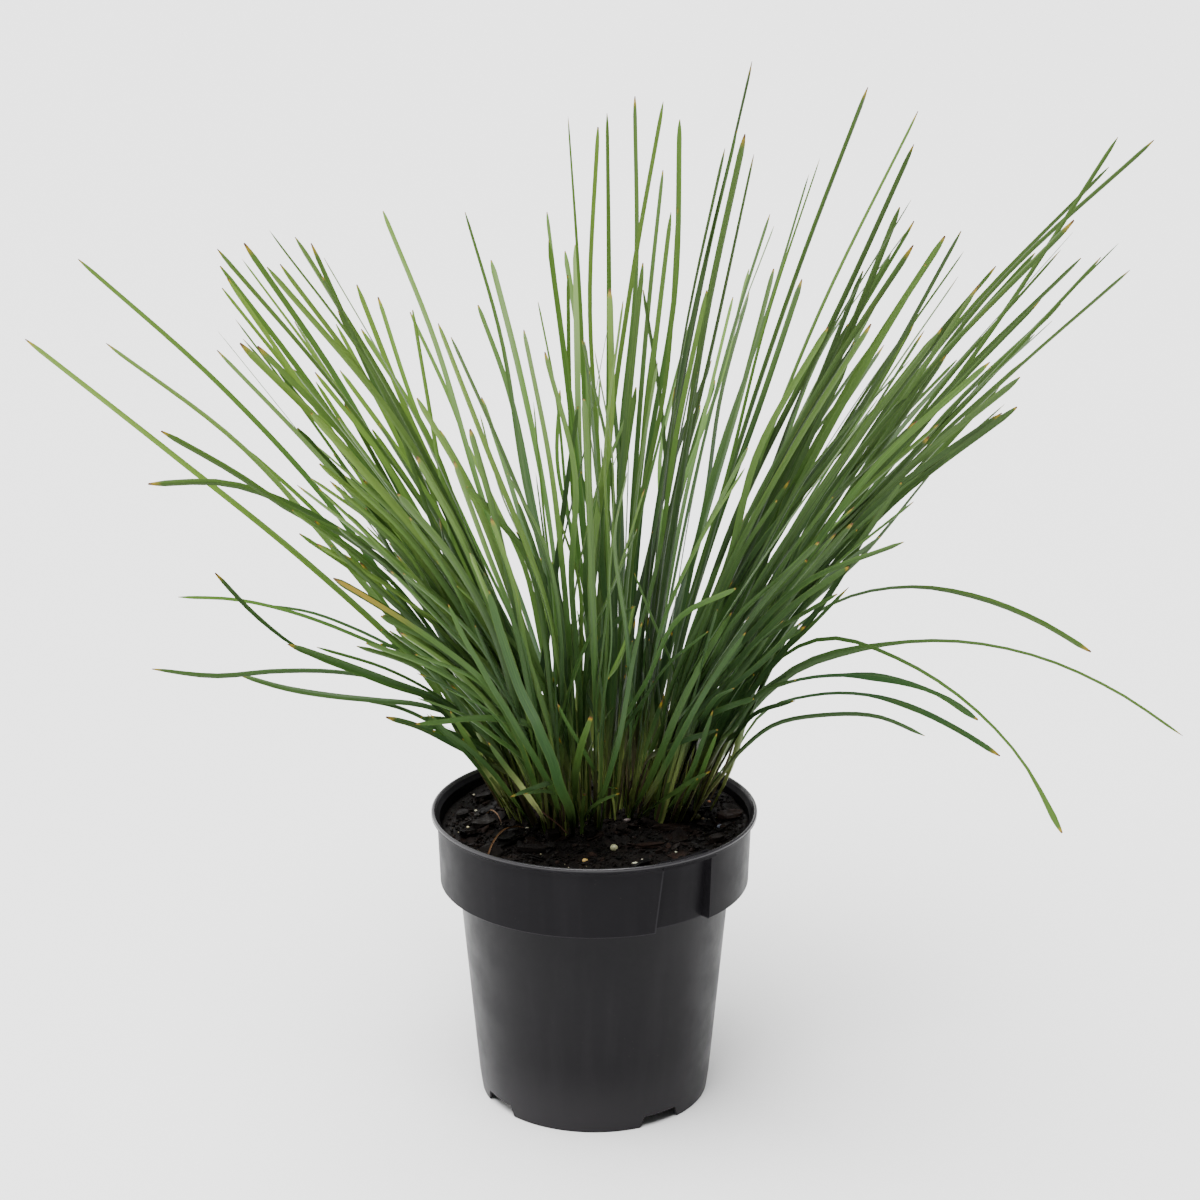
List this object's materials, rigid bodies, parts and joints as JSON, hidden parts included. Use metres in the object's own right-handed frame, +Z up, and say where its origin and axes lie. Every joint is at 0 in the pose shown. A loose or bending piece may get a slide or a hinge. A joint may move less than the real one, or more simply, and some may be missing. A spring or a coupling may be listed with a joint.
{
  "type": "potted lomandra",
  "caption": "Tufted strap-leaved garden plant, its arching green leaves rising in a fan from bark mix in a plain stepped plastic nursery pot.",
  "frame": {"origin": "On the pot's axis, on the surface that the pot stands on.", "axes": "+Z up along the pot's axis, -Y towards the front, from where the label recess shows at the right, +X to the right."},
  "size_m": [0.6752, 0.5936, 0.6318],
  "materials": {
    "pot_plastic": "satin dark grey",
    "bark_mix": "rough, moist bark chips",
    "leaf": "satin mid green, finely ribbed",
    "dead_leaf": "dry orange-brown"
  },
  "bodies": {
    "root": {"pot": "pot_plastic", "potting_mix": "bark_mix", "shoot_01": "leaf", "shoot_02": "leaf", "shoot_03": "leaf", "shoot_04": "leaf", "shoot_05": "leaf", "shoot_06": "leaf", "shoot_07": "leaf", "shoot_08": "leaf", "shoot_09": "leaf", "shoot_10": "leaf", "shoot_11": "leaf", "shoot_12": "leaf", "shoot_13": "leaf", "shoot_14": "leaf", "shoot_15": "leaf", "shoot_16": "leaf", "shoot_17": "leaf", "shoot_18": "leaf", "shoot_19": "leaf", "shoot_20": "leaf", "shoot_21": "leaf", "shoot_22": "leaf", "shoot_23": "leaf", "shoot_24": "leaf", "shoot_25": "leaf", "shoot_26": "leaf", "shoot_27": "leaf", "shoot_28": "leaf", "shoot_29": "leaf", "shoot_30": "leaf", "shoot_31": "leaf", "shoot_32": "leaf", "shoot_33": "leaf", "shoot_34": "leaf", "shoot_35": "leaf", "shoot_36": "leaf", "shoot_37": "leaf", "shoot_38": "leaf", "shoot_39": "leaf", "shoot_40": "leaf", "shoot_41": "leaf", "shoot_42": "leaf", "shoot_43": "leaf", "shoot_44": "leaf", "shoot_45": "leaf", "shoot_46": "leaf", "shoot_47": "leaf", "shoot_48": "leaf", "shoot_49": "leaf", "shoot_50": "leaf", "shoot_51": "leaf", "shoot_52": "leaf", "shoot_53": "leaf", "shoot_54": "leaf", "leaf_stub": "leaf", "dead_leaf_long": "dead_leaf", "dead_leaf_short": "dead_leaf"}
  },
  "joints": []
}
